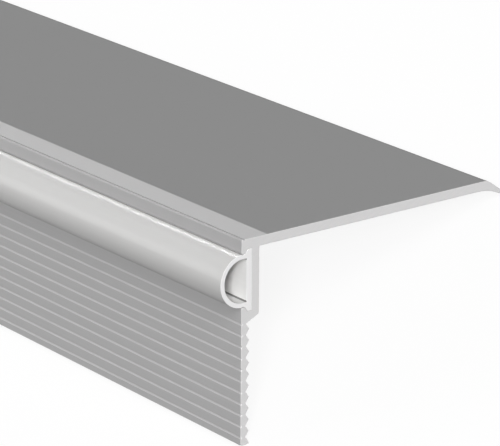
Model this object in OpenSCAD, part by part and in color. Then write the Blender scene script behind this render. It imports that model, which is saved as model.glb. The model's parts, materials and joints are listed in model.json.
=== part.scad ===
// Stair nosing strip: an extruded aluminium angle that caps the edge of a step.
// A half round plastic insert clips into the channel in its nose, the top ends in
// a thin ramp, and the riser leg is toothed behind and scored in front.
//
// The section is drawn as it is fitted: Y runs back from the riser face and Z up
// from the top of the tread plate. X is the length. The strip then leans back until
// it rests on the foot of its leg and the tip of its ramp, as it lies on a floor.

/* [Length] */
// Length of the strip
strip_l = 1000; // [200:50:3000]

/* [Tread plate] */
// Width from the riser face to the tip of the ramp
plate_w = 71.5; // [50:0.5:100]
// Thickness of the tread plate
plate_t = 2.1; // [1.6:0.1:3]
// Radius of the top edge over the riser
nose_r = 0.3; // [0.1:0.05:0.6]
// Distance of the nose line's front from the riser face
line_y = 0.34; // [0.3:0.02:1]
// Width of the nose line, a fine groove with an upright back wall
line_w = 0.43; // [0.2:0.01:0.8]
// Depth of the nose line
line_d = 0.23; // [0.1:0.01:0.4]

/* [Ramp] */
// Width of the ramp, from the start of its bend to its tip
ramp_w = 7.5; // [6:0.5:9]
// Fall of the top of the ramp below the plate, in degrees
ramp_a = 35; // [30:1:40]
// Fall of the underside of the ramp, in degrees
ramp_under_a = 22; // [18:1:24]
// Radius of the bend in the top
ramp_r = 7.5; // [5:0.5:9]
// Radius of the bend in the underside
ramp_under_r = 12; // [9:0.5:14]

/* [Riser leg] */
// Height from the top of the plate to the foot of the leg
leg_h = 45; // [30:0.5:80]
// Thickness of the leg over its teeth
leg_t = 2.1; // [1.8:0.1:3]
// Radius of the edges of the foot
foot_r = 0.2; // [0.1:0.05:0.4]

/* [Teeth and score lines] */
// Distance from one tooth to the next
tooth_pitch = 2.5; // [2:0.1:4]
// Depth of the gaps between the teeth
tooth_d = 0.85; // [0.4:0.05:1]
// Width of a score line in the riser face
score_w = 0.5; // [0.3:0.05:0.8]
// Depth of a score line
score_d = 0.25; // [0.1:0.05:0.4]

/* [Insert channel] */
// Height of the lip above the channel
lip_h = 3.1; // [2.5:0.1:5]
// Height of the mouth of the channel
mouth_h = 11.6; // [8:0.1:14]
// Depth of the channel from the riser face
channel_d = 2.6; // [2.4:0.1:4]
// Thickness of the lips at the mouth
lip_t = 0.9; // [0.7:0.1:1.2]
// How far the channel reaches behind each lip
undercut = 0.95; // [0.6:0.05:1]
// Depth at which the channel has its full height
undercut_y = 1.6; // [1.4:0.1:1.9]
// Thickness of the wall behind the channel
back_t = 1.95; // [1.5:0.05:3]
// Height of the solid web under the channel, at its back
web_h = 1.1; // [0.8:0.1:2]
// Slope of the underside of the web down to the leg, in degrees
web_a = 25; // [10:1:40]
// Radius of the outer edges of the lips
lip_r = 0.3; // [0.1:0.05:0.4]
// Radius of the corners behind the channel and the plate
inner_r = 0.3; // [0.1:0.05:0.5]

/* [Half round insert] */
// Wall of the half round
insert_wall = 1; // [0.6:0.1:1.6]
// Distance of the centre of the half round behind the riser face
insert_y = 0.4; // [0.3:0.05:0.6]
// Thickness of the back plate of the insert
insert_back_t = 1.3; // [0.8:0.1:1.6]
// Gap between the insert and the lips that hold it
fit_gap = 0.05; // [0.02:0.01:0.1]

/* [Hidden] */
$fn = 96;
// Furthest that a straight step of a corner's arc may lie from the arc
arc_error = 0.005;

// Channel and the block around it
channel_mid_z = -lip_h - mouth_h / 2;
mouth_low_z = -lip_h - mouth_h;
floor_h = mouth_h + 2 * undercut;
block_t = channel_d + back_t;
block_z = mouth_low_z - undercut - web_h;
hook_a = atan2(undercut, undercut_y - lip_t);

// Teeth start where the block has sloped down to the bottom of the first gap
gap_t = leg_t - tooth_d;
tooth_z = block_z - (block_t - gap_t) * tan(web_a);
tooth_n = floor((leg_h + tooth_z) / tooth_pitch) + 1;

// Ramp: its two faces run on to a sharp corner, which the tip rounds at plate_w
bend_y = plate_w - ramp_w;
top_bend_y = bend_y + ramp_r * tan(ramp_a / 2);
under_bend_y = bend_y + ramp_under_r * tan(ramp_under_a / 2);
sharp_y = (top_bend_y * tan(ramp_a) - under_bend_y * tan(ramp_under_a) + plate_t)
    / (tan(ramp_a) - tan(ramp_under_a));
sharp_z = -(sharp_y - top_bend_y) * tan(ramp_a);
tip_half_a = (ramp_a - ramp_under_a) / 2;
tip_fall_a = (ramp_a + ramp_under_a) / 2;
tip_back = (sharp_y - plate_w) / (cos(tip_fall_a) - sin(tip_half_a));
tip_r = tip_back * sin(tip_half_a);
tip_mid = [sharp_y - tip_back * cos(tip_fall_a), sharp_z + tip_back * sin(tip_fall_a)];

// Lean at which the foot of the leg and the tip of the ramp touch the same floor
foot_mid = [leg_t - foot_r, foot_r - leg_h];
foot_to_tip = tip_mid - foot_mid;
lean_a = atan2(foot_to_tip[1], foot_to_tip[0]) - asin((tip_r - foot_r) / norm(foot_to_tip));

// Place of a point of the section once the strip leans: [back, up]
function leaning(p) = [
    p[0] * cos(lean_a) + p[1] * sin(lean_a),
    p[1] * cos(lean_a) - p[0] * sin(lean_a)
];
floor_z = leaning(foot_mid)[1] - foot_r;
front_y = leaning([foot_r, foot_r - leg_h])[0] - foot_r;
rear_y = leaning(tip_mid)[0] + tip_r;

function unit(v) = v / norm(v);

// An outline is a list of corners [y, z, radius], anticlockwise. A corner with a
// radius becomes an arc, drawn in straight steps that stay within arc_error of it.
function point(o, i) = let (p = o[(i + len(o)) % len(o)]) [p[0], p[1]];
function heading(v) = atan2(v[1], v[0]);
function turn_from(a, b) = (b - a + 540) % 360 - 180;
function step_n(r, turn) = ceil(abs(turn) / (2 * acos(1 - arc_error / r)));
function corner_points(o, i) =
    let (
        r = o[i][2],
        last = unit(point(o, i) - point(o, i - 1)),
        next = unit(point(o, i + 1) - point(o, i)),
        turn = turn_from(heading(last), heading(next)),
        mid = point(o, i) + unit(next - last) * r / cos(turn / 2),
        start_a = heading(last) - 90 * sign(turn),
        n = r > 0 ? step_n(r, turn) : 0
    )
    r > 0
        ? [for (k = [0 : n]) mid + r * [cos(start_a + turn * k / n), sin(start_a + turn * k / n)]]
        : [point(o, i)];

// The face inside an outline
module outline(o) {
    polygon([for (i = [0 : len(o) - 1]) each corner_points(o, i)]);
}

// Back of the leg from the foot up: a tooth and a gap at a time
toothed_back = [for (i = [tooth_n - 1 : -1 : 0]) each [
    [leg_t, max(tooth_z - tooth_pitch * (i + 0.5), foot_r - leg_h), 0],
    [gap_t, tooth_z - tooth_pitch * i, 0]
]];

// Front of the leg from the channel down: one score line level with each gap
scored_front = [for (i = [0 : tooth_n - 1]) let (z = tooth_z - tooth_pitch * i) each [
    [0, z + score_w / 2, 0],
    [score_d, z, 0],
    [0, z - score_w / 2, 0]
]];

// Channel from its upper lip to its lower lip
channel = [
    [0, -lip_h, lip_r],
    [lip_t, -lip_h, 0],
    [undercut_y, undercut - lip_h, 0],
    [channel_d, undercut - lip_h, 0],
    [channel_d, mouth_low_z - undercut, 0],
    [undercut_y, mouth_low_z - undercut, 0],
    [lip_t, mouth_low_z, 0],
    [0, mouth_low_z, lip_r]
];

// Line along the nose: it slopes in from the front, up to its back wall
nose_line = [
    [line_y + line_w, 0, 0],
    [line_y + line_w, -line_d, 0],
    [line_y, 0, 0]
];

nosing = concat(
    [[0, -leg_h, foot_r], [leg_t, -leg_h, foot_r]],
    toothed_back,
    [[block_t, block_z, inner_r], [block_t, -plate_t, inner_r]],
    [[under_bend_y, -plate_t, ramp_under_r], [sharp_y, sharp_z, tip_r]],
    [[top_bend_y, 0, ramp_r]],
    nose_line,
    [[0, 0, nose_r]],
    channel,
    scored_front
);

// Clip of the insert: its neck in the mouth, and its feet behind the lips
neck_h = mouth_h - 2 * fit_gap;
feet_h = floor_h - 2 * fit_gap;
hook_shift = fit_gap * tan(hook_a / 2);
clip = [
    [insert_y, -neck_h / 2, 0],
    [lip_t + hook_shift, -neck_h / 2, 0],
    [undercut_y + hook_shift, -feet_h / 2, 0],
    [channel_d, -feet_h / 2, 0],
    [channel_d, feet_h / 2, 0],
    [undercut_y + hook_shift, feet_h / 2, 0],
    [lip_t + hook_shift, neck_h / 2, 0],
    [insert_y, neck_h / 2, 0]
];

// Half round of a radius about the middle of the mouth, cut off square at back_y
module half_round(r, back_y) {
    intersection() {
        translate([insert_y, 0]) circle(r = r);
        translate([insert_y - 2 * r, -r - 1]) square([back_y - insert_y + 2 * r, 2 * r + 2]);
    }
}

// A section drawn as fitted becomes the whole strip as it lies
module strip() {
    translate([-strip_l / 2, -(front_y + rear_y) / 2, -floor_z])
        rotate([-lean_a, 0, 0])
            rotate([90, 0, 90])
                linear_extrude(strip_l) children();
}

module nosing_profile() {
    color("silver") strip() outline(nosing);
}

module half_round_insert() {
    color("white") strip() translate([0, channel_mid_z]) difference() {
        union() {
            half_round(neck_h / 2, insert_y);
            outline(clip);
        }
        half_round(neck_h / 2 - insert_wall, channel_d - insert_back_t);
    }
}

nosing_profile();
half_round_insert();
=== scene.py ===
# Stair nosing strip: the looks of its two pieces, lying on a pale floor as they come to rest.
# Sections are drawn as the strip is fitted on a step, in millimetres: back from the riser
# face, and up from the top of the tread plate. They then lean to where the CAD pieces lie.
import json
import math

import bpy
from mathutils import Matrix, Vector


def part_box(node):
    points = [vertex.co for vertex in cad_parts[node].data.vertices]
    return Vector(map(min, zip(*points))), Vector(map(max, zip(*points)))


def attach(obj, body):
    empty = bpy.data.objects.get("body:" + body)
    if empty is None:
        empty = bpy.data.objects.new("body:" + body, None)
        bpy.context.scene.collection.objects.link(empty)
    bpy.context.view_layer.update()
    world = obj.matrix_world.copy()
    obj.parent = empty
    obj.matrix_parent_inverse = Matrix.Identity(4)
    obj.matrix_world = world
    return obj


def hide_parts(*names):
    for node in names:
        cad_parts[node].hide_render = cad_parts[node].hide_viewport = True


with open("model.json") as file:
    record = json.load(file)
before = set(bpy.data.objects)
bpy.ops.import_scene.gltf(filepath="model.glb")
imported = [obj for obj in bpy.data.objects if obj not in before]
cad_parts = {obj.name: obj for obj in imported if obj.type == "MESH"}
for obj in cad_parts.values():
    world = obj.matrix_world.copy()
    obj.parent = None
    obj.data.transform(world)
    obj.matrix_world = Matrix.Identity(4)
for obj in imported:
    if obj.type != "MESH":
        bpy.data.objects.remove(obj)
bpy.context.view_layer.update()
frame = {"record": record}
mm = 0.001


# How the strip leans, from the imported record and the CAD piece's own box

def mountAxis(name):
    mounts = {mount["name"]: mount for mount in frame["record"]["mounts"]}
    return Vector(mounts[name]["axis"])


treadDown = mountAxis("plate_underside")
leanAngle = math.atan2(-treadDown.y, -treadDown.z)
leanTurn = Matrix.Rotation(-leanAngle, 3, "X")
cadLow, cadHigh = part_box("nosing_profile")
stripLength = cadHigh.x - cadLow.x


# Outlines: lists of (back, up) points in millimetres, anticlockwise seen from the cut end

def arcPoints(centre, radius, fromAngle, toAngle, stepAngle):
    count = max(2, math.ceil(abs(toAngle - fromAngle) / stepAngle))
    points = []
    for i in range(count + 1):
        angle = math.radians(fromAngle + (toAngle - fromAngle) * i / count)
        points.append(centre + radius * Vector((math.cos(angle), math.sin(angle))))
    return points


def roundedOutline(corners, hold=0.03, stepAngle=5.0):
    # A corner is (back, up, radius). Beside each arc a point, hold away, keeps a long face flat.
    outline = []
    count = len(corners)
    longFace = 5 * hold
    for i, (back, up, radius) in enumerate(corners):
        corner = Vector((back, up))
        if radius <= 0:
            outline.append(corner)
            continue
        before = Vector(corners[i - 1][:2])
        after = Vector(corners[(i + 1) % count][:2])
        arriving = (corner - before).normalized()
        leaving = (after - corner).normalized()
        turn = math.degrees(leaving.angle_signed(arriving))
        side = math.copysign(1, turn)
        reach = radius * math.tan(math.radians(abs(turn) / 2))
        start = corner - arriving * reach
        centre = start + side * radius * Vector((-arriving.y, arriving.x))
        startAngle = math.degrees(math.atan2(*(start - centre).yx))
        if (start - before).length > longFace:
            outline.append(start - arriving * hold)
        outline += arcPoints(centre, radius, startAngle, startAngle + turn, stepAngle)
        if (after - corner).length - reach > longFace:
            outline.append(corner + leaving * (reach + hold))
    return outline


markMargin = 0.01  # millimetres by which a point may miss a zone and still be marked as in it


# The aluminium nosing, in millimetres and degrees

nosing = {
    "plateWidth": 71.5,
    "plateThick": 2.1,
    "noseRadius": 0.3,
    "rampWidth": 7.5,
    "rampTopFall": 35,
    "rampUnderFall": 22,
    "rampTopCorner": 2.365,  # from the start of the ramp to the corner that its top bend rounds
    "rampTopBend": 3.5,
    "rampUnderBend": 12,
    "legHeight": 45,
    "legThick": 2.1,
    "footRadius": 0.2,
    "toothPitch": 2.5,
    "toothDepth": 0.85,
    "toothRadius": 0.1,
    "scoreWidth": 0.5,
    "scoreDepth": 0.25,
    "scoreLift": 0.13,      # how far a score line's bottom lies above its middle
    "lipHeight": 3.1,
    "mouthHeight": 11.6,
    "channelDepth": 2.6,
    "lipThick": 0.9,
    "undercut": 0.95,
    "undercutBack": 1.6,
    "channelWall": 1.95,
    "webHeight": 1.1,
    "webFall": 25,
    "lipRadius": 0.3,
    "innerRadius": 0.3,
    "treadStart": 6.6,      # where the dark finish of the tread begins
    "noseLineFront": 0.34,  # fine groove along the nose: it slopes in, up to an upright wall
    "noseLineBack": 0.77,
    "noseLineDepth": 0.23,
    "cutEdge": 0.08,        # softened edge of the sawn ends
}


def rampCorners(n):
    topFall = math.tan(math.radians(n["rampTopFall"]))
    underFall = math.tan(math.radians(n["rampUnderFall"]))
    bend = n["plateWidth"] - n["rampWidth"]
    topBend = bend + n["rampTopCorner"]
    underBend = bend + n["rampUnderBend"] * math.tan(math.radians(n["rampUnderFall"] / 2))
    sharpBack = (topBend * topFall - underBend * underFall + n["plateThick"]) / (topFall - underFall)
    sharpUp = -(sharpBack - topBend) * topFall
    halfAngle = math.radians((n["rampTopFall"] - n["rampUnderFall"]) / 2)
    fallAngle = math.radians((n["rampTopFall"] + n["rampUnderFall"]) / 2)
    toCentre = (sharpBack - n["plateWidth"]) / (math.cos(fallAngle) - math.sin(halfAngle))
    tipRadius = toCentre * math.sin(halfAngle)
    return [
        (underBend, -n["plateThick"], n["rampUnderBend"]),
        (sharpBack, sharpUp, tipRadius),
        (topBend, 0, n["rampTopBend"]),
    ]


def legTeeth(n):
    # Lower back corner of the channel block, and how far back and up each gap of the teeth lies
    blockBack = n["channelDepth"] + n["channelWall"]
    blockUp = -n["lipHeight"] - n["mouthHeight"] - n["undercut"] - n["webHeight"]
    gapBack = n["legThick"] - n["toothDepth"]
    firstGap = blockUp - (blockBack - gapBack) * math.tan(math.radians(n["webFall"]))
    count = math.floor((n["legHeight"] + firstGap) / n["toothPitch"]) + 1
    gaps = [firstGap - n["toothPitch"] * i for i in range(count)]
    return blockBack, blockUp, gapBack, gaps


def nosingOutline(n):
    blockBack, blockUp, gapBack, gaps = legTeeth(n)
    footLimit = n["footRadius"] - n["legHeight"]
    teeth = []
    for gap in reversed(gaps):
        tooth = gap - n["toothPitch"] / 2
        if tooth > footLimit:
            teeth.append((n["legThick"], tooth, n["toothRadius"]))
        teeth.append((gapBack, gap, n["toothRadius"]))
    scores = []
    for gap in gaps:
        scores.append((0, gap + n["scoreWidth"] / 2, 0))
        scores.append((n["scoreDepth"], gap + n["scoreLift"], 0))
        scores.append((0, gap - n["scoreWidth"] / 2, 0))
        scores.append((0, gap - n["toothPitch"] / 2, 0))  # holds the face flat between lines
    noseTop = [
        (n["treadStart"], 0, 0),
        (n["noseLineBack"], 0, 0),
        (n["noseLineBack"], -n["noseLineDepth"], 0),
        (n["noseLineFront"], 0, 0),
        (0, 0, n["noseRadius"]),
    ]
    lipUp = -n["lipHeight"]
    mouthLow = lipUp - n["mouthHeight"]
    channel = [
        (0, lipUp, n["lipRadius"]),
        (n["lipThick"], lipUp, 0),
        (n["undercutBack"], lipUp + n["undercut"], 0),
        (n["channelDepth"], lipUp + n["undercut"], 0),
        (n["channelDepth"], mouthLow - n["undercut"], 0),
        (n["undercutBack"], mouthLow - n["undercut"], 0),
        (n["lipThick"], mouthLow, 0),
        (0, mouthLow, n["lipRadius"]),
    ]
    foot = [
        (0, -n["legHeight"], n["footRadius"]),
        (n["legThick"], -n["legHeight"], n["footRadius"]),
    ]
    block = [
        (blockBack, blockUp, n["innerRadius"]),
        (blockBack, -n["plateThick"], n["innerRadius"]),
    ]
    return roundedOutline(foot + teeth + block + rampCorners(n) + noseTop + channel + scores)


def onTread(back, up):
    # Above the middle of the plate and of its ramp, from where the dark finish begins
    sharpBack, sharpUp, _ = rampCorners(nosing)[1]
    bend = nosing["plateWidth"] - nosing["rampWidth"]
    middle = -nosing["plateThick"] / 2
    alongRamp = max(0, back - bend) / (sharpBack - bend)
    return back > nosing["treadStart"] - markMargin and up > middle + (sharpUp - middle) * alongRamp


# Points of the score lines, whose faces get a lighter finish as painted highlight
def inScoreLinePaintedHighlight(back, up):
    gaps = legTeeth(nosing)[3]
    reach = nosing["scoreWidth"] / 2 + markMargin
    isFront = back < nosing["scoreDepth"] + markMargin
    return isFront and min(abs(up - gap) for gap in gaps) < reach


# The plastic insert, in millimetres, about the middle of the nosing's mouth

insert = {
    "wall": 1.0,
    "centreBack": 0.4,
    "backPlate": 1.3,
    "fitGap": 0.05,
    "footRadius": 0.1,
    "roundStep": 2.5,      # degrees from one point of the half round to the next
    "creaseReach": 0.25,   # shallow crease in each inner corner of the hollow, painted dark as shade
    "creaseDepth": 0.07,
    "creaseRim": 0.05,     # plain strip of back plate beside each crease
    "seamFront": -0.15,    # fine groove along each seam with the lips, deepest under the lip
    "seamBack": 0.62,
    "seamDepth": 0.2,
    "seamSlope": 0.12,     # how far the groove's floor runs back on its way up to the neck
    "cutEdge": 0.06,
}


def hollowCorners(s, n):
    # Middle of the mouth, radius of the hollow, and the hollow's lower and upper corner
    middle = -n["lipHeight"] - n["mouthHeight"] / 2
    radius = n["mouthHeight"] / 2 - s["fitGap"] - s["wall"]
    plateFront = n["channelDepth"] - s["backPlate"]
    reach = math.sqrt(radius ** 2 - (plateFront - s["centreBack"]) ** 2)
    low = Vector((plateFront, middle - reach))
    high = Vector((plateFront, middle + reach))
    return middle, radius, low, high


# Points in the hollow's corner creases, whose faces get painted shade
def inCreasePaintedShade(back, up):
    _, _, low, high = hollowCorners(insert, nosing)
    place = Vector((back, up))
    return min((place - low).length, (place - high).length) < insert["creaseReach"] + markMargin


def onBackPlatePaintedLight(back, up):
    # On the front of the back plate, between the two creases, where the plastic gets painted light
    plateFront, lowUp = hollowCorners(insert, nosing)[2]
    highUp = hollowCorners(insert, nosing)[3].y
    inset = insert["creaseReach"] + markMargin
    return abs(back - plateFront) < markMargin and lowUp + inset < up < highUp - inset


def insertOutlines(s, n):
    middle, hollowRadius, low, high = hollowCorners(s, n)
    neck = n["mouthHeight"] / 2 - s["fitGap"]
    feet = n["mouthHeight"] / 2 + n["undercut"] - s["fitGap"]
    hookAngle = math.atan2(n["undercut"], n["undercutBack"] - n["lipThick"])
    hookShift = s["fitGap"] * math.tan(hookAngle / 2)
    neckBack = n["lipThick"] + hookShift
    feetBack = n["undercutBack"] + hookShift
    seamFloor = s["seamBack"] - s["seamSlope"]
    seamNeck = neck - s["seamDepth"]
    clip = roundedOutline([
        (seamFloor, middle - seamNeck, 0),
        (s["seamBack"], middle - neck, 0),
        (neckBack, middle - neck, 0),
        (feetBack, middle - feet, s["footRadius"]),
        (n["channelDepth"], middle - feet, s["footRadius"]),
        (n["channelDepth"], middle + feet, s["footRadius"]),
        (feetBack, middle + feet, s["footRadius"]),
        (neckBack, middle + neck, 0),
        (s["seamBack"], middle + neck, 0),
        (seamFloor, middle + seamNeck, 0),
    ])
    centre = Vector((s["centreBack"], middle))
    seamAngle = math.degrees(math.asin((s["centreBack"] - s["seamFront"]) / neck))
    halfRound = arcPoints(centre, neck, 90 + seamAngle, 270 - seamAngle, s["roundStep"])

    # The hollow runs from its lower crease round the front to its upper one
    cornerAngle = math.degrees(math.atan2(*(high - centre).yx))
    creaseAngle = math.degrees(2 * math.asin(s["creaseReach"] / (2 * hollowRadius)))
    creaseStart = cornerAngle + creaseAngle
    front = arcPoints(centre, hollowRadius, 360 - creaseStart, creaseStart, s["roundStep"])
    edge = Vector((0, s["creaseReach"]))
    rim = Vector((0, s["creaseReach"] + s["creaseRim"]))
    deep = s["creaseDepth"]
    lowCrease = [low + rim, low + edge, low + Vector((deep, -deep))]
    highCrease = [high + Vector((deep, deep)), high - edge, high - rim]
    return [clip + halfRound, lowCrease + front + highCrease]


# Geometry Nodes: a bar of constant section, with softened cut ends and its finishes

zoneNames = ("First Zone", "Second Zone")
zoneShare = 0.75         # a face is in a zone if all its points are marked, so above this
sharpEdge = 20           # degrees between two faces, over which the edge is drawn sharp
mergeReach = 1e-6        # metres
barInputs = (
    ("NodeSocketGeometry", "Section"),
    ("NodeSocketFloat", "Length"),
    ("NodeSocketFloat", "Cut Edge"),
    ("NodeSocketFloat", "Lean"),
    ("NodeSocketVector", "Rest Place"),
    ("NodeSocketMaterial", "Side Finish"),
    ("NodeSocketMaterial", "Cut Finish"),
    ("NodeSocketMaterial", "First Zone Finish"),
    ("NodeSocketMaterial", "Second Zone Finish"),
)


def inputSocket(tree, kind, name):
    tree.interface.new_socket(name=name, in_out="INPUT", socket_type=kind)


def outputSocket(tree, kind, name):
    tree.interface.new_socket(name=name, in_out="OUTPUT", socket_type=kind)


def feed(tree, socket, value):
    # value is a plain value or the socket that it comes from
    if isinstance(value, bpy.types.NodeSocket):
        tree.links.new(value, socket)
    else:
        socket.default_value = value


def placeNode(tree, kind, values=None, **settings):
    # values gives what each input gets, by the input's name or number
    node = tree.nodes.new(kind)
    for name, setting in settings.items():
        setattr(node, name, setting)
    for name, value in (values or {}).items():
        feed(tree, node.inputs[name], value)
    return node


def nodeOutput(tree, kind, values=None, **settings):
    return placeNode(tree, kind, values, **settings).outputs[0]


def mathNode(tree, operation, first, second=0.0):
    return nodeOutput(tree, "ShaderNodeMath", {0: first, 1: second}, operation=operation)


def compareNode(tree, operation, first, second, dataType="FLOAT"):
    node = placeNode(tree, "FunctionNodeCompare", data_type=dataType, operation=operation)
    firstSocket, secondSocket = [socket for socket in node.inputs if socket.enabled][:2]
    feed(tree, firstSocket, first)
    feed(tree, secondSocket, second)
    return node.outputs[0]


def alongBar(tree, distance):
    return nodeOutput(tree, "ShaderNodeCombineXYZ", {"X": distance})


def drawnOut(tree, section, length, half, cut):
    # The section starts at one end and is drawn out three times: cut edge, bar, cut edge
    toStart = alongBar(tree, mathNode(tree, "MULTIPLY", half, -1.0))
    mesh = nodeOutput(tree, "GeometryNodeSetPosition", {0: section, "Offset": toStart})
    bodyLength = mathNode(tree, "SUBTRACT", length, mathNode(tree, "MULTIPLY", cut, 2.0))
    selected = True
    for reach in (cut, bodyLength, cut):
        span = placeNode(tree, "GeometryNodeExtrudeMesh", {
            "Mesh": mesh, "Selection": selected, "Offset": alongBar(tree, reach),
        }, mode="EDGES")
        mesh = span.outputs["Mesh"]
        selected = span.outputs["Top"]
    return nodeOutput(tree, "GeometryNodeFlipFaces", {0: mesh})


def softenedEnds(tree, mesh, fromMiddle, half, cut):
    # Both end rings draw in, which softens the cut edges
    ringStart = mathNode(tree, "SUBTRACT", half, mathNode(tree, "MULTIPLY", cut, 0.5))
    inward = nodeOutput(tree, "ShaderNodeVectorMath", {
        0: nodeOutput(tree, "GeometryNodeInputNormal"),
        "Scale": mathNode(tree, "MULTIPLY", cut, -1.0),
    }, operation="SCALE")
    return nodeOutput(tree, "GeometryNodeSetPosition", {
        0: mesh,
        "Selection": compareNode(tree, "GREATER_THAN", fromMiddle, ringStart),
        "Offset": inward,
    })


def closedEnds(tree, wall, placed, half):
    # The ring at the far end is filled, and its fill closes both ends
    edgeFaces = nodeOutput(tree, "GeometryNodeInputMeshEdgeNeighbors")
    isRim = compareNode(tree, "EQUAL", edgeFaces, 1, "INT")
    atFarEnd = compareNode(tree, "GREATER_THAN", placed["X"], 0.0)
    isFarRim = nodeOutput(tree, "FunctionNodeBooleanMath", {0: isRim, 1: atFarEnd}, operation="AND")
    rim = nodeOutput(tree, "GeometryNodeMeshToCurve", {0: wall, "Selection": isFarRim})
    flat = nodeOutput(tree, "ShaderNodeCombineXYZ", {"X": placed["Y"], "Y": placed["Z"]})
    laidFlat = nodeOutput(tree, "GeometryNodeSetPosition", {0: rim, "Position": flat})
    filled = nodeOutput(tree, "GeometryNodeFillCurve", {0: laidFlat})
    stoodUp = nodeOutput(tree, "ShaderNodeCombineXYZ", {"X": half, "Y": placed["X"], "Z": placed["Y"]})
    farCap = nodeOutput(tree, "GeometryNodeSetPosition", {0: filled, "Position": stoodUp})
    toNearEnd = alongBar(tree, mathNode(tree, "MULTIPLY", half, -2.0))
    nearCap = nodeOutput(tree, "GeometryNodeSetPosition", {0: farCap, "Offset": toNearEnd})
    nearCap = nodeOutput(tree, "GeometryNodeFlipFaces", {0: nearCap})
    joined = placeNode(tree, "GeometryNodeJoinGeometry")
    for part in (wall, farCap, nearCap):
        tree.links.new(part, joined.inputs[0])
    return nodeOutput(tree, "GeometryNodeMergeByDistance", {
        0: joined.outputs[0], "Distance": mergeReach,
    })


def markedFaces(tree, mesh, fromMiddle, half, cut):
    # Outputs: the mesh, and which faces are of the cut ends and of the section's two zones
    bodyEnd = mathNode(tree, "SUBTRACT", half, cut)
    isPicked = {"Cut": compareNode(tree, "GREATER_THAN", fromMiddle, bodyEnd)}
    for name in zoneNames:
        zone = nodeOutput(tree, "GeometryNodeInputNamedAttribute", {"Name": name}, data_type="FLOAT")
        isPicked[name] = compareNode(tree, "GREATER_THAN", zone, zoneShare)
    picked = placeNode(tree, "GeometryNodeCaptureAttribute", {0: mesh}, domain="FACE")
    for name, socket in isPicked.items():
        picked.capture_items.new("BOOLEAN", name)
        tree.links.new(socket, picked.inputs[name])
    return picked.outputs


def smoothed(tree, mesh):
    # Smooth round the arcs and sharp over every real edge
    edgeAngle = placeNode(tree, "GeometryNodeInputMeshEdgeAngle").outputs["Unsigned Angle"]
    smooth = nodeOutput(tree, "GeometryNodeSetShadeSmooth", {
        0: mesh, "Shade Smooth": True,
    }, domain="FACE")
    return nodeOutput(tree, "GeometryNodeSetShadeSmooth", {
        0: smooth,
        "Selection": compareNode(tree, "GREATER_THAN", edgeAngle, math.radians(sharpEdge)),
        "Shade Smooth": False,
    }, domain="EDGE")


def buildBarTree():
    tree = bpy.data.node_groups.new("extrudedBar", "GeometryNodeTree")
    for kind, name in barInputs:
        inputSocket(tree, kind, name)
    outputSocket(tree, "NodeSocketGeometry", "Bar")
    given = placeNode(tree, "NodeGroupInput").outputs
    cut = given["Cut Edge"]
    half = mathNode(tree, "MULTIPLY", given["Length"], 0.5)
    place = nodeOutput(tree, "GeometryNodeInputPosition")
    placed = placeNode(tree, "ShaderNodeSeparateXYZ", {0: place}).outputs
    fromMiddle = mathNode(tree, "ABSOLUTE", placed["X"])

    drawn = drawnOut(tree, given["Section"], given["Length"], half, cut)
    wall = softenedEnds(tree, drawn, fromMiddle, half, cut)
    closed = closedEnds(tree, wall, placed, half)
    marked = markedFaces(tree, closed, fromMiddle, half, cut)
    lain = nodeOutput(tree, "GeometryNodeTransform", {
        0: smoothed(tree, marked[0]),
        "Translation": given["Rest Place"],
        "Rotation": alongBar(tree, mathNode(tree, "MULTIPLY", given["Lean"], -1.0)),
    })
    bar = nodeOutput(tree, "GeometryNodeRealizeInstances", {0: lain})
    bar = nodeOutput(tree, "GeometryNodeSetMaterial", {0: bar, "Material": given["Side Finish"]})
    for name in (*zoneNames, "Cut"):
        bar = nodeOutput(tree, "GeometryNodeSetMaterial", {
            0: bar, "Material": given[name + " Finish"], "Selection": marked[name],
        })
    placeNode(tree, "NodeGroupOutput", {0: bar})
    return tree


def sectionMesh(name, outlines, zones):
    # Closed loops of edges, with a mark on the points of each zone that has its own finish
    mesh = bpy.data.meshes.new(name)
    points = []
    edges = []
    for outline in outlines:
        first = len(points)
        points += outline
        edges += [(first + i, first + (i + 1) % len(outline)) for i in range(len(outline))]
    mesh.from_pydata([(0, back * mm, up * mm) for back, up in points], edges, [])
    for zoneName, inZone in zip(zoneNames, zones):
        zone = mesh.attributes.new(zoneName, "FLOAT", "POINT")
        zone.data.foreach_set("value", [float(inZone(back, up)) for back, up in points])
    return mesh


def extrudedPiece(name, outlines, zones, values):
    drawn = bpy.data.objects.new(name + "Section", sectionMesh(name, outlines, zones))
    bpy.context.scene.collection.objects.link(drawn)
    modifier = drawn.modifiers.new("bar", "NODES")
    modifier.node_group = barTree
    for socket in barTree.interface.items_tree:
        if socket.name in values:
            modifier[socket.identifier] = values[socket.name]
    seen = drawn.evaluated_get(bpy.context.evaluated_depsgraph_get())
    mesh = bpy.data.meshes.new_from_object(seen)
    mesh.name = name
    for zoneName in zoneNames:
        mesh.attributes.remove(mesh.attributes[zoneName])
    if mesh.materials[0] is None:
        mesh.materials.pop(index=0)
    drawn.modifiers.remove(modifier)
    bpy.data.objects.remove(drawn)
    piece = bpy.data.objects.new(name, mesh)
    bpy.context.scene.collection.objects.link(piece)
    print(name, len(mesh.polygons), "faces")
    return piece


# Shared effects, each one group that is placed in the materials with its own values

heightsFrom = 0.3  # the fine lines' heights lie mostly between these two
heightsTo = 0.7


def groupTree(name, inputs, outputs):
    tree = bpy.data.node_groups.new(name, "ShaderNodeTree")
    for kind, socketName in inputs:
        inputSocket(tree, kind, socketName)
    for kind, socketName in outputs:
        outputSocket(tree, kind, socketName)
    return tree, placeNode(tree, "NodeGroupInput").outputs


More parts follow.
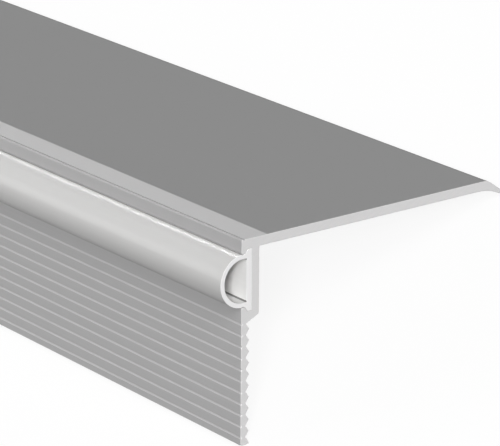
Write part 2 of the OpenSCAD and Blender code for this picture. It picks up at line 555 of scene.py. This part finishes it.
def buildFineLines():
    # Fine lines along X, as a die or a saw leaves: a height from 0 to 1
    tree, given = groupTree(
        "fineLines",
        [("NodeSocketVector", "Place"), ("NodeSocketFloat", "Spacing"), ("NodeSocketFloat", "Stretch")],
        [("NodeSocketFloat", "Height")],
    )
    parts = placeNode(tree, "ShaderNodeSeparateXYZ", {0: given["Place"]}).outputs
    stretched = nodeOutput(tree, "ShaderNodeCombineXYZ", {
        "X": mathNode(tree, "DIVIDE", parts["X"], given["Stretch"]),
        "Y": parts["Y"],
        "Z": parts["Z"],
    })
    lines = nodeOutput(tree, "ShaderNodeTexNoise", {
        "Vector": stretched,
        "Scale": mathNode(tree, "DIVIDE", 1.0, given["Spacing"]),
        "Detail": 3.0,
        "Roughness": 0.6,
    })
    placeNode(tree, "NodeGroupOutput", {"Height": lines})
    return tree


def buildFineGrain():
    # A close, even grain: a height from 0 to 1
    tree, given = groupTree(
        "fineGrain",
        [("NodeSocketVector", "Place"), ("NodeSocketFloat", "Size")],
        [("NodeSocketFloat", "Height")],
    )
    pattern = {"Vector": given["Place"], "Scale": mathNode(tree, "DIVIDE", 1.0, given["Size"])}
    cells = placeNode(tree, "ShaderNodeTexVoronoi", pattern, feature="SMOOTH_F1")
    grain = nodeOutput(tree, "ShaderNodeTexNoise", {**pattern, "Detail": 2.0})
    height = mathNode(tree, "MULTIPLY", cells.outputs["Distance"], grain)
    placeNode(tree, "NodeGroupOutput", {"Height": height})
    return tree


def placeGroup(tree, group, values):
    return nodeOutput(tree, "ShaderNodeGroup", values, node_tree=group)


def spread(tree, height, low, high):
    return nodeOutput(tree, "ShaderNodeMapRange", {
        "Value": height, "From Min": heightsFrom, "From Max": heightsTo, "To Min": low, "To Max": high,
    })


def greyByHeight(tree, height, finish):
    # The finish's grey, darker in low places and lighter in high ones
    share = spread(tree, height, 0.0, 1.0)
    mixed = placeNode(tree, "ShaderNodeMix", {"Factor": share}, data_type="RGBA")
    for name, change in (("A", -finish["variation"]), ("B", finish["variation"])):
        socket = next(s for s in mixed.inputs if s.name == name and s.type == "RGBA")
        grey = finish["grey"] * (1 + change)
        socket.default_value = (*[channel * grey for channel in finish["tint"]], 1)
    return next(s for s in mixed.outputs if s.type == "RGBA")


# Finishes: each a base grey with its tint, and how far it varies. Heights of the bump, distances
# between lines and sizes of the grain are in metres, and lines are stretched so many times.

finishes = {
    "silverAnodised": {
        "grey": 0.453, "tint": (1.0, 0.992, 0.998), "variation": 0.02, "metallic": 0.1,
        "roughness": (0.38, 0.44), "specular": 0.2, "bump": 0.000004,
        "lines": 0.0003, "stretch": 150.0,
    },
    # A lighter copy of the anodised finish in the score lines: painted highlight, on top of the light
    # that their lower walls catch
    "scoreLinePaintedHighlight": {
        "grey": 0.505, "tint": (1.0, 0.992, 0.998), "variation": 0.02, "metallic": 0.1,
        "roughness": (0.38, 0.44), "specular": 0.2, "bump": 0.000002,
        "lines": 0.0003, "stretch": 150.0,
    },
    "darkTread": {
        "grey": 0.393, "tint": (1.0, 1.0, 1.0), "variation": 0.04, "metallic": 0.0,
        "roughness": (0.72, 0.82), "specular": 0.0, "bump": 0.00002,
        "grain": 0.00018,
    },
    "sawnEnd": {
        "grey": 0.688, "tint": (1.0, 0.992, 0.994), "variation": 0.03, "metallic": 0.2,
        "roughness": (0.42, 0.5), "specular": 0.5, "bump": 0.000004,
        "lines": 0.0002, "stretch": 60.0,
    },
    "opalPlastic": {
        "grey": 0.653, "tint": (1.0, 0.995, 0.985), "variation": 0.01, "metallic": 0.0,
        "roughness": (0.217, 0.223), "specular": 0.15, "bump": 0.000002,
        "lines": 0.0006, "stretch": 200.0,
    },
    # A lighter copy of the same plastic on the back plate inside the hollow: painted light
    "opalPlasticPaintedLight": {
        "grey": 0.98, "tint": (1.0, 0.995, 0.985), "variation": 0.01, "metallic": 0.0,
        "roughness": (0.4, 0.45), "specular": 0.2, "bump": 0.000002,
        "lines": 0.0006, "stretch": 200.0,
    },
    # A dark copy of the plastic in the hollow's corner creases: painted shade
    "opalPlasticPaintedShade": {
        "grey": 0.3, "tint": (1.0, 0.99, 0.98), "variation": 0.05, "metallic": 0.0,
        "roughness": (0.6, 0.7), "specular": 0.2, "bump": 0.000002,
        "lines": 0.0006, "stretch": 200.0,
    },
    "opalPlasticCut": {
        "grey": 0.9, "tint": (1.0, 0.992, 0.996), "variation": 0.015, "metallic": 0.0,
        "roughness": (0.5, 0.6), "specular": 0.4, "bump": 0.000003,
        "lines": 0.0002, "stretch": 40.0,
    },
}
sawAngle = 25  # degrees that the saw's lines rise from the tread, seen on the cut end


def makeFinish(name, acrossEnd=False):
    finish = finishes[name]
    material = bpy.data.materials.new(name)
    material.use_nodes = True
    tree = material.node_tree
    tree.nodes.clear()
    place = placeNode(tree, "ShaderNodeTexCoord").outputs["Object"]
    if acrossEnd:
        # Turned so that the lines run across the section instead of along the strip
        sawTurn = leanAngle - math.radians(sawAngle)
        for turn in ((sawTurn, 0, 0), (0, 0, math.radians(90))):
            place = nodeOutput(tree, "ShaderNodeMapping", {"Vector": place, "Rotation": turn})
    if "grain" in finish:
        height = placeGroup(tree, fineGrain, {"Place": place, "Size": finish["grain"]})
    else:
        height = placeGroup(tree, fineLines, {
            "Place": place, "Spacing": finish["lines"], "Stretch": finish["stretch"],
        })
    shader = placeNode(tree, "ShaderNodeBsdfPrincipled", {
        "Base Color": greyByHeight(tree, height, finish),
        "Metallic": finish["metallic"],
        "Roughness": spread(tree, height, *finish["roughness"]),
        "Specular IOR Level": finish["specular"],
        "Normal": nodeOutput(tree, "ShaderNodeBump", {
            "Height": height, "Distance": finish["bump"], "Strength": 1.0,
        }),
    })
    placeNode(tree, "ShaderNodeOutputMaterial", {"Surface": shader.outputs[0]})
    return material


barTree = buildBarTree()
fineLines = buildFineLines()
fineGrain = buildFineGrain()
silver = makeFinish("silverAnodised")
tread = makeFinish("darkTread")
scoreLinePaintedHighlight = makeFinish("scoreLinePaintedHighlight")
sawn = makeFinish("sawnEnd", acrossEnd=True)
opal = makeFinish("opalPlastic")
opalPaintedLight = makeFinish("opalPlasticPaintedLight")
opalPaintedShade = makeFinish("opalPlasticPaintedShade")
opalCut = makeFinish("opalPlasticCut", acrossEnd=True)
print(len(finishes), "finishes")


# Place at rest: the lean brings the section's lowest and foremost points onto the CAD box's

def leaned(back, up):
    return leanTurn @ Vector((0, back * mm, up * mm))


nosingSection = nosingOutline(nosing)
leanedPoints = [leaned(*point) for point in nosingSection]
restPlace = Vector((
    (cadLow.x + cadHigh.x) / 2,
    cadLow.y - min(point.y for point in leanedPoints),
    cadLow.z - min(point.z for point in leanedPoints),
))
barPlace = {"Length": stripLength, "Lean": leanAngle, "Rest Place": restPlace}

nosingPiece = extrudedPiece("nosingProfile", [nosingSection], (onTread, inScoreLinePaintedHighlight), {
    **barPlace,
    "Cut Edge": nosing["cutEdge"] * mm,
    "Side Finish": silver,
    "First Zone Finish": tread,
    "Second Zone Finish": scoreLinePaintedHighlight,
    "Cut Finish": sawn,
})
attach(nosingPiece, "root")
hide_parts("nosing_profile")

insertSection = insertOutlines(insert, nosing)
insertPiece = extrudedPiece("halfRoundInsert", insertSection, (inCreasePaintedShade, onBackPlatePaintedLight), {
    **barPlace,
    "Cut Edge": insert["cutEdge"] * mm,
    "Side Finish": opal,
    "First Zone Finish": opalPaintedShade,
    "Second Zone Finish": opalPaintedLight,
    "Cut Finish": opalCut,
})
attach(insertPiece, "root")
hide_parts("half_round_insert")


# Floor: pale, white where it is seen, with the strip's shadow on it

floor = {
    "sides": 96,
    "radius": 12.0,      # metres
    "glow": 0.9,         # how much of its white is its own, so that the shadow stays light
    "seenGrey": 1.0,     # grey of the rest of it
    "bounceGrey": 0.1,   # grey that lights the strip from below
}


def greyColour(grey):
    return (grey, grey, grey, 1)


def whereSeen(tree):
    # 1 for rays from the camera, and for those that a reflection or a clear piece sends on
    path = placeNode(tree, "ShaderNodeLightPath").outputs
    seen = mathNode(tree, "MAXIMUM", path["Is Camera Ray"], path["Is Glossy Ray"])
    return mathNode(tree, "MAXIMUM", seen, path["Is Transmission Ray"])


def makeFloor():
    mesh = bpy.data.meshes.new("floor")
    ring = []
    for i in range(floor["sides"]):
        angle = 2 * math.pi * i / floor["sides"]
        ring.append((floor["radius"] * math.cos(angle), floor["radius"] * math.sin(angle), 0))
    mesh.from_pydata(ring, [], [list(range(floor["sides"]))])
    material = bpy.data.materials.new("paleFloor")
    material.use_nodes = True
    tree = material.node_tree
    tree.nodes.clear()
    lit = nodeOutput(tree, "ShaderNodeBsdfDiffuse", {"Color": greyColour(floor["seenGrey"])})
    glow = nodeOutput(tree, "ShaderNodeEmission", {"Color": greyColour(1.0), "Strength": 1.0})
    white = nodeOutput(tree, "ShaderNodeMixShader", {0: floor["glow"], 1: lit, 2: glow})
    bounce = nodeOutput(tree, "ShaderNodeBsdfDiffuse", {"Color": greyColour(floor["bounceGrey"])})
    both = nodeOutput(tree, "ShaderNodeMixShader", {0: whereSeen(tree), 1: bounce, 2: white})
    placeNode(tree, "ShaderNodeOutputMaterial", {"Surface": both})
    mesh.materials.append(material)
    disc = bpy.data.objects.new("floor", mesh)
    bpy.context.scene.collection.objects.link(disc)
    print("floor", 2 * floor["radius"], "metres wide")


makeFloor()


# Light: wide sun lamps, so that the strip is lit alike along its length, and a world that is
# white where it is seen. Azimuth 0 stands before the riser and 90 beyond the cut end. Level is
# what a white face turned to the lamp shows.

lamps = {
    "key": {"azimuth": 57, "elevation": 38, "level": 0.565, "width": 12},
    "endKey": {"azimuth": 100, "elevation": 40, "level": 0.425, "width": 30},
    "topKey": {"azimuth": 90, "elevation": 55, "level": 0.122, "width": 25},
    "topFill": {"azimuth": 60, "elevation": 60, "level": 0.096, "width": 30},
    "frontFill": {"azimuth": 300, "elevation": 25, "level": 0.138, "width": 25},
    "backFill": {"azimuth": 270, "elevation": 25, "level": 0.03, "width": 25},
    "rearFill": {"azimuth": 224, "elevation": 14, "level": 0.078, "width": 12},
    "gloss": {"azimuth": 232.5, "elevation": 18.3, "level": 0.062, "width": 8, "glossOnly": True},
}
world = {
    "seen": 1.0,     # white where the camera or a reflection sees it
    "light": 0.03,   # how much it lights the strip
}


def sideOf(azimuth, elevation):
    a = math.radians(azimuth)
    e = math.radians(elevation)
    return Vector((math.sin(a) * math.cos(e), -math.cos(a) * math.cos(e), math.sin(e)))


def makeLamp(name, values):
    lamp = bpy.data.lights.new(name, "SUN")
    lamp.energy = values["level"] * math.pi
    lamp.angle = math.radians(values["width"])
    holder = bpy.data.objects.new(name, lamp)
    if values.get("glossOnly"):
        # Seen only as a highlight. The nosing stands before it, so it casts no shadow, and
        # multiple importance sampling, which would lose most of it there, is off.
        lamp.use_shadow = False
        lamp.cycles.use_multiple_importance_sampling = False
        holder.visible_diffuse = False
    towards = sideOf(values["azimuth"], values["elevation"])
    holder.rotation_euler = towards.to_track_quat("Z", "Y").to_euler()
    bpy.context.scene.collection.objects.link(holder)


def makeWorld():
    sky = bpy.data.worlds.new("paleStudio")
    sky.use_nodes = True
    tree = sky.node_tree
    tree.nodes.clear()
    level = nodeOutput(tree, "ShaderNodeMapRange", {
        "Value": whereSeen(tree), "To Min": world["light"], "To Max": world["seen"],
    })
    background = nodeOutput(tree, "ShaderNodeBackground", {
        "Color": greyColour(1.0), "Strength": level,
    })
    placeNode(tree, "ShaderNodeOutputWorld", {"Surface": background})
    bpy.context.scene.world = sky


for lampName, lampValues in lamps.items():
    makeLamp(lampName, lampValues)
makeWorld()
print(len(lamps), "lamps and a pale world")


# Camera: aims at a point of the cut end, and leans with the strip

cameraView = {
    "aimBack": 2.0414,     # millimetres behind the riser face
    "aimUp": 3.2944,       # millimetres above the tread
    "distance": 671.818,   # millimetres
    "azimuth": 52.232,     # degrees from the front of the riser towards the cut end
    "elevation": 18.620,   # degrees above the tread
    "roll": 0.412,         # degrees
    "lens": 238.8,         # millimetres
    "nearest": 0.01,       # metres, and so the next
    "farthest": 100,
}


def makeCamera(v):
    away = sideOf(v["azimuth"], v["elevation"])
    level = sideOf(v["azimuth"] + 90, 0)
    above = away.cross(level)
    roll = math.radians(v["roll"])
    right = level * math.cos(roll) + above * math.sin(roll)
    turn = leanTurn @ Matrix((right, away.cross(right), away)).transposed()
    aim = restPlace + Vector((stripLength / 2, 0, 0)) + leaned(v["aimBack"], v["aimUp"])
    holder = bpy.data.objects.new("camera", bpy.data.cameras.new("camera"))
    holder.data.lens = v["lens"]
    holder.data.clip_start = v["nearest"]
    holder.data.clip_end = v["farthest"]
    stand = aim + leanTurn @ away * v["distance"] * mm
    holder.matrix_world = Matrix.Translation(stand) @ turn.to_4x4()
    bpy.context.scene.collection.objects.link(holder)
    bpy.context.scene.camera = holder


makeCamera(cameraView)
print("camera in place")
bpy.context.scene.view_settings.view_transform = "Standard"
